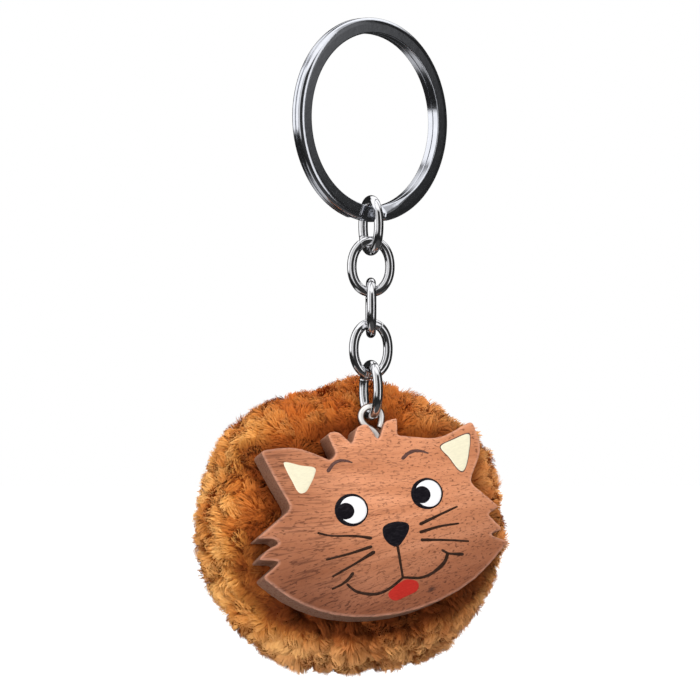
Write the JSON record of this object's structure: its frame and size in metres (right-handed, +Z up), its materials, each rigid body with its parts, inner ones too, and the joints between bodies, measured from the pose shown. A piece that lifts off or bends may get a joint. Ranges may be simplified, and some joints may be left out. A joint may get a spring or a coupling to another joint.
{
  "type": "plush keychain",
  "caption": "Keyring charm: a split ring and oval chain links carry a painted wooden cat face glued to a stuffed plush ball.",
  "frame": {"origin": "inner top of the split ring, where it hangs on a hook or a finger", "axes": "+Z up along the hanging chain, the cat face looks towards -Y, +X to the right seen from the front"},
  "size_m": [0.0446, 0.0374, 0.0967],
  "materials": {
    "ring_steel": "bright nickel-plated flat wire",
    "link_steel": "bright nickel-plated round wire",
    "eye_steel": "bright nickel-plated wire",
    "wood": "sanded open-pored reddish-brown hardwood with hand-painted features",
    "plush": "tufted golden-brown plush pile",
    "filling": "white polyester fibre",
    "thread": "twisted brown thread",
    "glue": "set hot-melt glue"
  },
  "bodies": {
    "ring": {"key_ring": "ring_steel"},
    "link_1": {"chain_link_1": "link_steel"},
    "link_2": {"chain_link_2": "link_steel"},
    "link_3": {"chain_link_3": "link_steel"},
    "link_4": {"chain_link_4": "link_steel"},
    "link_5": {"chain_link_5": "link_steel"},
    "head": {"screw_eye": "eye_steel", "wooden_face": "wood", "plush_cover": "plush", "stuffing": "filling", "gathering_thread": "thread", "glue_pad": "glue"}
  },
  "joints": [
    {"name": "link_1_swing", "type": "hinge", "parent": "ring", "child": "link_1", "pos_m": [0, 0, -0.02655], "axis": [0.8572, 0.515, 0], "range_deg": [-80, 80]},
    {"name": "link_2_swing", "type": "hinge", "parent": "link_1", "child": "link_2", "pos_m": [0, 0, -0.03195], "axis": [0.2079, -0.9781, 0], "range_deg": [-80, 80]},
    {"name": "link_3_swing", "type": "hinge", "parent": "link_2", "child": "link_3", "pos_m": [0, 0, -0.038], "axis": [-0.9781, 0.2079, 0], "range_deg": [-80, 80]},
    {"name": "link_4_swing", "type": "hinge", "parent": "link_3", "child": "link_4", "pos_m": [0, 0, -0.04405], "axis": [0.1736, 0.9848, 0], "range_deg": [-80, 80]},
    {"name": "link_5_swing", "type": "hinge", "parent": "link_4", "child": "link_5", "pos_m": [0, 0, -0.0501], "axis": [-0.9703, -0.2419, 0], "range_deg": [-50, 80]},
    {"name": "head_swing", "type": "hinge", "parent": "link_5", "child": "head", "pos_m": [0, 0, -0.05615], "axis": [0.1736, -0.9848, 0], "range_deg": [-70, 70]}
  ]
}
